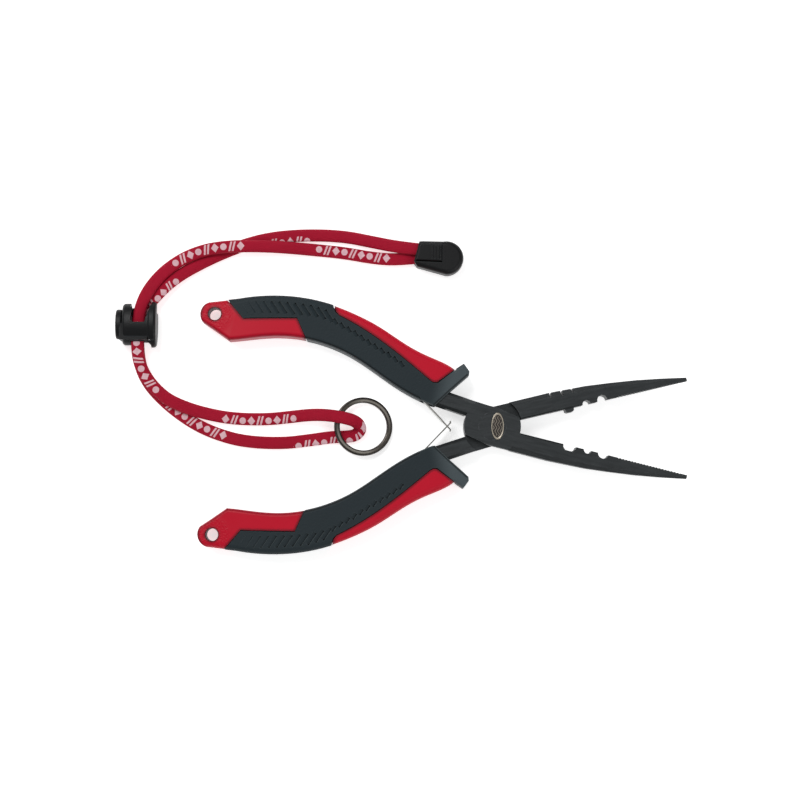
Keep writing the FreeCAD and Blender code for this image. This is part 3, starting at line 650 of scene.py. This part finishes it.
def strap_outline():
    """Half-flattened tube: points across and up, and the distance of each from the top's middle."""
    outline = []
    for side in range(STRAP_SIDES):
        angle = 2 * math.pi * side / STRAP_SIDES
        sine = math.sin(angle)
        cosine = math.cos(angle)
        across = math.copysign(abs(sine) ** STRAP_CORNER, sine) * STRAP_WIDTH / 2
        up = math.copysign(abs(cosine) ** STRAP_CORNER, cosine) * STRAP_THICKNESS / 2
        outline.append(Vector((across, up)))
    around = [0.0]
    for first, second in zip(outline, outline[1:] + outline[:1]):
        around.append(around[-1] + (second - first).length)
    girth = around[-1]
    return outline, [a if a <= girth / 2 else a - girth for a in around[:-1]]


def print_place(from_end):
    """Distance into the printed stretch that holds this place, and the print's offset from the middle."""
    for start, offset in PRINT_STARTS_MM:
        inside = from_end - start * MM
        if 0 <= inside < PRINT_MARKS * MARK_PITCH:
            return inside, offset * MM
    return -1.0, 0.0


def map_strap(strap, travelled, around):
    """Lay the weave over the whole strap, and the print over its printed stretches."""
    weave = strap.data.uv_layers.new(name="weave")
    ink = strap.data.uv_layers.new(name="print")
    full_turn = max(around) - min(around) + around[1] - around[0]
    for face in strap.data.polygons:
        corners = [strap.data.loops[i].vertex_index for i in face.loop_indices]
        rings = [corner // STRAP_SIDES for corner in corners]
        places = [around[corner % STRAP_SIDES] for corner in corners]
        middle = sum(travelled[ring] for ring in rings) / len(rings)
        inside, offset = print_place(travelled[-1] - middle)
        wraps = max(places) - min(places) > STRAP_WIDTH
        for loop, ring, across in zip(face.loop_indices, rings, places):
            if wraps and across > 0:
                across -= full_turn
            weave.data[loop].uv = (travelled[ring], across)
            printed = inside + middle - travelled[ring] if inside >= 0 else -1.0
            ink.data[loop].uv = (printed, across - offset)


def make_strap():
    """Flat tube along the route, kept level across its width."""
    line = route_line()
    outline, around = strap_outline()
    points = []
    travelled = [0.0]
    for index, place in enumerate(line):
        before = line[max(index - 1, 0)]
        after = line[min(index + 1, len(line) - 1)]
        along = (after - before).normalized()
        sideways = Vector((0, 0, 1)).cross(along).normalized()
        up = along.cross(sideways)
        points.extend(place + sideways * p.x + up * p.y for p in outline)
        if index:
            travelled.append(travelled[-1] + (place - line[index - 1]).length)
    strap = add_mesh("wrist_strap", points, tube_faces(len(line), STRAP_SIDES), red_strap())
    map_strap(strap, travelled, around)
    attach(strap, "lanyard")
    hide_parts("lanyard_cord")
    return strap, line


# ---- medallion ----------------------------------------------------------------------------------
# Share of the full size, and height over the joint's face in mm: a rim with a low dome inside it.
MEDALLION_PROFILE = [(1.0, 0.0), (0.99, 0.16), (0.93, 0.22), (0.86, 0.2), (0.82, 0.1), (0.76, 0.1),
                     (0.6, 0.15), (0.35, 0.19), (0.1, 0.2)]
MEDALLION_SIDES = 64


def make_medallion():
    """Thin oval badge on the joint's upper face."""
    points = []
    for share, height in MEDALLION_PROFILE:
        for side in range(MEDALLION_SIDES):
            angle = 2 * math.pi * side / MEDALLION_SIDES
            points.append((MEDALLION_X + share * math.cos(angle) * MEDALLION_WIDTH / 2,
                           share * math.sin(angle) * MEDALLION_HEIGHT / 2,
                           JOINT_TOP_Z + height * MM))
    faces = tube_faces(len(MEDALLION_PROFILE), MEDALLION_SIDES)
    medallion = add_mesh("joint_medallion", points, faces, medallion_metal())
    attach(medallion, "half_a")


# ---- cord lock's spring -------------------------------------------------------------------------
SPRING_TURNS = 3
SPRING_WIRE = 0.35 * MM
SPRING_STEPS = 28                    # rings of points in each turn
SPRING_SIDES = 10


def make_lock_spring(material):
    """Coil spring between the button's stem and its seat; it shortens as the button goes in."""
    low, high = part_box("lock_spring")
    middle = (low + high) / 2
    coil_radius = (high.y - low.y - SPRING_WIRE) / 2
    first = low.x + SPRING_WIRE / 2
    travel = high.x - low.x - SPRING_WIRE
    count = SPRING_TURNS * SPRING_STEPS
    points = []
    for step in range(count + 1):
        turn = 2 * math.pi * step / SPRING_STEPS
        outward = Vector((0, math.cos(turn), math.sin(turn)))
        centre = Vector((first + travel * step / count, middle.y, middle.z)) + outward * coil_radius
        for side in range(SPRING_SIDES):
            angle = 2 * math.pi * side / SPRING_SIDES
            offset = outward * math.cos(angle) + Vector((math.sin(angle), 0, 0))
            points.append(centre + offset * SPRING_WIRE / 2)
    spring = add_mesh("lock_coil_spring", points, tube_faces(count + 1, SPRING_SIDES), material)
    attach(spring, "lock")
    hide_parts("lock_spring")
    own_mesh(spring)
    return spring


# ---- CAD nodes' finishes ------------------------------------------------------------------------
def dress(node, material):
    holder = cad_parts[node]
    if not holder.material_slots:
        holder.data.materials.append(material)
    for slot in holder.material_slots:
        slot.material = material


def dress_frame(metal):
    for half in ("a", "b"):
        dress("steel_half_" + half, black_steel(half))
        dress("grip_core_" + half, red_plastic(half))
        dress("grip_cover_" + half, dark_rubber(half))
    for node in ("leaf_spring_a", "leaf_spring_b", "spring_pin_a", "spring_pin_b"):
        dress(node, metal)
    dress("pivot_rivet", black_steel("rivet"))
    dress("split_ring", ring_steel())
    plastic = black_plastic()
    for node in ("lock_body", "lock_plunger", "clip_body", "clip_lid"):
        dress(node, plastic)


# ---- studio -------------------------------------------------------------------------------------
TABLE_REACH = 3.0
ROOM_GLOW = 0.32
# Name, place, size across and power of each light.
LIGHTS = [("key", (-0.5, 0.6, 1.1), 0.7, 9.0), ("fill", (0.7, -0.5, 0.9), 0.9, 4.0)]


def make_table():
    corners = [(-1, -1), (1, -1), (1, 1), (-1, 1)]
    points = [(x * TABLE_REACH, y * TABLE_REACH, TABLE_Z) for x, y in corners]
    add_mesh("table", points, [(0, 1, 2, 3)], table_paint(), smooth=False)


def add_light(name, place, size, power):
    data = bpy.data.lights.new(name, "AREA")
    data.shape = "DISK"
    data.size = size
    data.energy = power
    lamp = bpy.data.objects.new(name, data)
    lamp.location = place
    lamp.rotation_euler = (CAMERA_AIM - Vector(place)).to_track_quat("-Z", "Y").to_euler()
    bpy.context.scene.collection.objects.link(lamp)


def make_studio():
    world = bpy.data.worlds.new("studio")
    world.use_nodes = True
    background = world.node_tree.nodes["Background"]
    background.inputs["Color"].default_value = WHITE
    background.inputs["Strength"].default_value = ROOM_GLOW
    bpy.context.scene.world = world
    for light in LIGHTS:
        add_light(*light)
    bpy.context.scene.view_settings.view_transform = "Standard"


# ---- make everything ----------------------------------------------------------------------------
make_camera()
strap, strap_line = make_strap()
make_medallion()
steel = bright_steel()
dress_frame(steel)
lock_spring = make_lock_spring(steel)
make_table()
make_studio()
